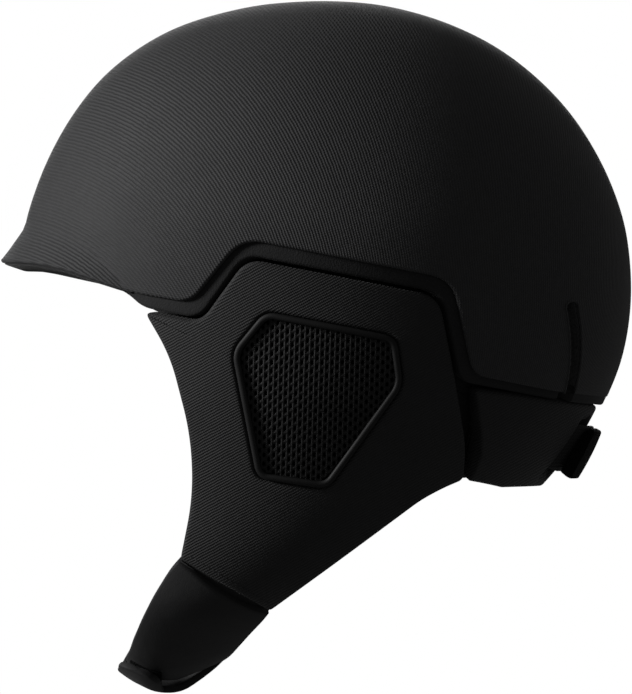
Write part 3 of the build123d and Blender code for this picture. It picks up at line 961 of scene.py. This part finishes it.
def build_skirts():
    """Knitted skirts inside the shell's edge that close the grooves above the ear flaps and nape."""
    path, up = edge_frames(-74.6, 60.0, 150)
    sections = []
    for point, square, half in zip(path, up, np.clip(np.arange(150) / 4, 1.0, 4.0)):
        loop = section_loop(half, 1.0, 0.35)
        flat = point + square * (loop[:, :1] - 1.2)
        sections.append(sink(on_side(flat), FLAP_LINED + 0.5 + loop[:, 1]))
    skirt = from_rings("flap_skirt_left", sections, EDGE_KNIT)
    pair(skirt, "flap_skirt", "shell", "smooth_fabric")
    phi = np.linspace(1.9, 2 * pi - 1.9, 200)
    edge = border(phi, EDGE_LINE)
    loop = section_loop(4.0, 1.0, 0.35)
    sides = [sink(around(phi, edge + across - 1.4), NAPE_IN + 1.6 + depth) for across, depth in loop]
    rear = from_rings("nape_skirt", list(np.stack(sides, 1)), EDGE_KNIT)
    ready(rear, "shell", "smooth_fabric")


# ---- chin strap
STRAP_FRONT = [(-60.0, -123.9), (-64.6, -128.8), (-70.4, -138.2), (-75.0, -148.2), (-78.6, -156.6),
               (-81.6, -163.4)]
STRAP_REAR = [(-22.8, -146.6), (-29.2, -153.8), (-35.0, -160.2), (-41.0, -165.8), (-49.0, -170.4),
              (-57.0, -173.0)]


def strap_edges(n, end_front, end_rear):
    """(distance round the chin, y) along the strap's two edges, from the seam to the chin's middle."""
    out = []
    for side, end in ((STRAP_FRONT, end_front), (STRAP_REAR, end_rear)):
        path = [(chin_angle(y, z) * CHIN_R, y) for y, z in side] + [(0.0, end)]
        out.append(resample(rounded([(a, b, 6) for a, b in path], closed=False), n, closed=False))
    return out


def strap_sections(front, rear, depth, thick, edge):
    """Rounded cross-sections between two edges; depth gives the outer face's depth at each."""
    sections = []
    for f, r, d in zip(front, rear, depth):
        width = np.linalg.norm(f - r)
        loop = section_loop(width / 2, thick, min(edge, width / 2.2))
        share = 0.5 + loop[:, 0] / width
        at = f[None] * (1 - share[:, None]) + r[None] * share[:, None]
        sections.append(sink(under_chin(at[:, 0] / CHIN_R, at[:, 1]), d + loop[:, 1]))
    return sections


def closure_patch(name, depth, thick):
    """One of the two patches that hold the halves together under the chin."""
    across = np.linspace(2.5, 16.5, 12)
    front = np.stack([across, np.full(12, -79.5)], 1)
    rear = np.stack([across, np.full(12, -66.5)], 1)
    return from_rings(name, strap_sections(front, rear, np.full(12, depth), thick, 0.25), HOOKS)


def build_chin_strap():
    n = 46
    front, rear = strap_edges(n, -82.0, -61.0)
    depth = FLAP_SINK + 0.5 * np.clip(1 - np.arange(n) / 26, 0, 1)
    left = from_rings("strap_left", strap_sections(front, rear, depth, 3.0, 1.1), NEOPRENE)
    ready(left, "chin_strap_left", "neoprene", "chin_strap_left")
    # The right half runs on past the middle and closes over the left one from below.
    mirror_front, mirror_rear = front * (-1, 1), rear * (-1, 1)
    extra = np.linspace(0, 1, 16)[1:]
    corner = 3.4 * np.clip((extra - 0.72) / 0.28, 0, 1) ** 2.4
    tab_front = np.stack([extra * TAB_REACH, -82.4 + 0.6 * extra + corner], 1)
    tab_rear = np.stack([extra * TAB_REACH, -62.6 - 1.5 * extra - corner], 1)
    front = np.vstack([mirror_front, tab_front])
    rear = np.vstack([mirror_rear, tab_rear])
    run = np.concatenate([[0], np.cumsum(np.abs(np.diff((front[:, 0] + rear[:, 0]) / 2)))])
    middle = np.interp(0, (front[:, 0] + rear[:, 0]) / 2, run)
    slope = np.clip((run - middle + 15) / 13, 0, 1)
    depth = np.concatenate([depth, np.full(len(extra), FLAP_SINK)])
    depth -= TAB_DROP * slope**2 * (3 - 2 * slope)
    rear[:, 1] -= 3.0 * slope
    right = from_rings("strap_right", strap_sections(front, rear, depth, 2.8, 1.1), NEOPRENE)
    ready(right, "chin_strap_right", "neoprene", "chin_strap_right")
    loops = closure_patch("loop_patch", FLAP_SINK - 0.85, 0.9)
    ready(loops, "chin_strap_left", "hook_and_loop", "chin_loop_patch")
    hooks = closure_patch("hook_patch", -0.85, 0.7)
    ready(hooks, "chin_strap_right", "hook_and_loop", "chin_hook_patch")


def build_strap_seams():
    """Piped seam and a row of stitches where each flap is sewn to its strap half."""
    line = np.array([-59.2, -123.6]) + np.linspace(0, 1, 60)[:, None] * np.array([36.0, -22.2])
    cord = piping("strap_seam_left", sink(on_side(line), FLAP_SINK + 3.2), 1.0, EDGE_KNIT, closed=False)
    pair(cord, "strap_seam", "ear_flap", "smooth_fabric")
    row = np.array([-57.4, -120.6]) + np.linspace(0.02, 0.98, 60)[:, None] * np.array([35.6, -22.0])
    flat = on_side(row)
    outward = sink(flat, -1.0) - flat
    rows = stitches("seam_stitches_left", sink(flat, FLAP_SINK - 0.02), outward, 1.9, 2.7, 0.2, THREAD)
    pair(rows, "seam_stitches", "ear_flap", "smooth_fabric")


# ---- nape
def nape_edges(u):
    """Top and bottom heights of the nape panel at a share u of its length from the flap."""
    top = np.interp(u, [0, 0.45, 1], [-56.2, -60.9, -63.0])
    return top, np.interp(u, [0, 0.35, 1], [-92.8, -95.8, -95.6])


def nape_phi(z, u, gap=12.2):
    """Angle round the form at height z and share u, from the flap's edge to the middle of the nape."""
    c, s, h = level(z)
    front_y = np.interp(-z, [57, 66, 74, 82, 88, 95], [58.8, 60.2, 61.2, 61.2, 59.0, 55.2])
    start = np.arccos(np.clip((c - front_y) / s, -1, 1))
    end = pi - np.arcsin(gap / h)
    return start * (1 - u) + end * u


def nape_panel(name, outer, inner, edge, shrink, material, recessed):
    """Left half of the nape from depth outer to inner; recessed adds a seat for the strap's end."""
    start = [(shrink + e, d) for e, d in roll(edge, 6)[::-1]]
    margin = shrink + edge + 1
    spans = start + [(v, 0.0) for v in np.linspace(margin, NAPE_LENGTH - margin, 100)]
    spans += [(NAPE_LENGTH - e, d) for e, d in start[::-1]]
    sections = []
    for run, tuck in spans:
        u = run / NAPE_LENGTH
        top, low = nape_edges(u)
        loop = section_loop((top - low) / 2 - shrink - tuck, inner - outer - tuck, edge)
        z = (top + low) / 2 + loop[:, 0]
        p = around(nape_phi(z, u), z)
        d = outer + tuck + loop[:, 1]
        if recessed:
            inside = np.clip((SEAT_HALF[0] - np.abs(p[:, 0] - SEAT_MID[0])) / 1.2, 0, 1)
            inside = inside * np.clip((SEAT_HALF[1] - np.abs(z - SEAT_MID[1])) / 1.2, 0, 1)
            d = d + np.where(loop[:, 1] < 1.5, SEAT_DEPTH * inside, 0)
        sections.append(sink(p, d))
    return from_rings(name, sections, material)


def wrap_strap(name, x_end, z_top, z_low, depth_at, thick, edge, material, round_ends=0.0, lean=0.0):
    """Flat strap round the back of the head between -x_end and x_end, its lower edge leaning out."""
    sections = []
    for x in np.linspace(-x_end, x_end, 64):
        trim = round_ends * np.clip((abs(x) - x_end + round_ends) / max(round_ends, 0.1), 0, 1) ** 3
        half = (z_top - z_low) / 2 - trim
        loop = section_loop(half, thick, min(edge, half * 0.8))
        z = (z_top + z_low) / 2 + loop[:, 0]
        leaning = lean * (z_top - z) / (z_top - z_low) * (1 - 0.8 * loop[:, 1] / thick)
        sections.append(sink(on_rear(np.full(len(z), x), z), depth_at(abs(x)) + loop[:, 1] - leaning))
    return from_rings(name, sections, material)


def build_nape():
    skin = nape_panel("nape_skin_left", NAPE_SINK, NAPE_IN, 1.5, 0, FLAP_CLOTH, True)
    weave(skin, "flap")
    pair(skin, "nape_skin", "nape", "ribbed_fabric", "nape_cover", "nape_foam")
    lining = nape_panel("nape_lining_cloth_left", NAPE_IN + 0.05, NAPE_IN + 1.3, 0.4, 1.2, LINING_KNIT,
                        False)
    pair(lining, "nape_lining_cloth", "nape", "smooth_fabric", "nape_lining")
    strap = wrap_strap("nape_strap", 26.0, -70.4, -88.0,
                       lambda x: -0.9 + 2.6 * np.clip((x - 18) / 7, 0, 1) ** 1.5, 1.5, 0.5, WEB)
    weave(strap, "plain")
    ready(strap, "rear_strap", "webbing", "rear_strap")
    elastic = wrap_strap("nape_elastic_band", 34.0, -68.0, -89.0,
                         lambda x: NAPE_IN + 4.2 + 0.18 * np.sin(x * 2.6), 1.1, 0.4, WEB)
    weave(elastic, "plain")
    ready(elastic, "rear_strap", "webbing", "nape_elastic")
    tab = wrap_strap("pull_tab", 21.5, -70.4, -87.2, lambda x: -4.4, 3.2, 0.9, HOOKS, 3.5, lean=3.0)
    ready(tab, "rear_pull_tab", "hook_and_loop", "rear_pull_tab")


def build_carried_over():
    """CAD nodes that keep their own shape, with the right material."""
    for name, material in (("impact_foam", FOAM), ("slot_insert_left", ELASTIC),
                           ("slot_insert_right", ELASTIC), ("ear_mesh_left", SCREEN),
                           ("ear_mesh_right", SCREEN)):
        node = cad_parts[name]
        node.data.materials.clear()
        node.data.materials.append(material)


# ---- studio
def aimed(name, data, place, aim):
    """Places a lamp or camera so that it looks at a point."""
    obj = add_object(name, data)
    obj.location = place
    obj.rotation_euler = (Vector(aim) - Vector(place)).to_track_quat("-Z", "Y").to_euler()
    return obj


def lamp(name, place, size, power):
    data = bpy.data.lights.new(name, "AREA")
    data.size = size
    data.energy = power
    aimed(name, data, place, (0, 0, 0))


def build_floor():
    """Plain pale floor that throws no light on the helmet and can be seen through from below."""
    half, z = 12.0, -0.62
    mesh = bpy.data.meshes.new("floor")
    corners = [(-half, -half, z), (half, -half, z), (half, half, z), (-half, half, z)]
    mesh.from_pydata(corners, [], [(0, 1, 2, 3)])
    floor = add_object("floor", mesh)
    pale = Nodes("floor_paint")
    seen = pale.add("LightPath").outputs["Is Camera Ray"]
    under = pale.add("NewGeometry").outputs["Backfacing"]
    mix = pale.add("MixShader", Fac=pale.math("MULTIPLY", seen, pale.math("SUBTRACT", 1.0, under)))
    pale.link(pale.add("BsdfTransparent").outputs[0], mix.inputs[1])
    pale.link(pale.add("Emission").outputs[0], mix.inputs[2])
    pale.link(mix.outputs[0], pale.tree.nodes["Material Output"].inputs["Surface"])
    mesh.materials.append(pale.material)


def build_studio():
    # The photograph is 694 pixels high at 0.4 mm each, and its middle is here in the row frame.
    middle = Vector((0, -0.0048, -0.0388))
    distance = 6.0
    data = bpy.data.cameras.new("camera")
    data.lens = data.sensor_width * distance / (694 * 0.4 * MM)
    bpy.context.scene.camera = aimed("camera", data, middle + Vector((distance, 0, 0)), middle)

    world = bpy.data.worlds.new("studio")
    world.use_nodes = True
    tree = world.node_tree
    seen = tree.nodes.new("ShaderNodeLightPath").outputs["Is Camera Ray"]
    # The backdrop is white, but lights the helmet only weakly.
    strength = tree.nodes.new("ShaderNodeMapRange")
    strength.inputs["To Min"].default_value = 0.125
    strength.inputs["To Max"].default_value = 1.0
    tree.links.new(seen, strength.inputs["Value"])
    tree.nodes["Background"].inputs["Color"].default_value = (1, 1, 1, 1)
    tree.links.new(strength.outputs[0], tree.nodes["Background"].inputs["Strength"])
    bpy.context.scene.world = world
    bpy.context.scene.view_settings.view_transform = "Standard"
    lamp("key", (0.42, -1.9, 0.62), 0.45, 52)
    lamp("fill", (-2.7, -0.1, 0.5), 1.2, 28)


build_floor()
build_studio()
build_dome()
build_peak()
build_pads()
build_ear_flaps()
build_flap_hinges()
build_gussets()
build_skirts()
build_chin_strap()
build_seam_strips()
build_strap_seams()
build_nape()
build_carried_over()
bpy.context.view_layer.update()
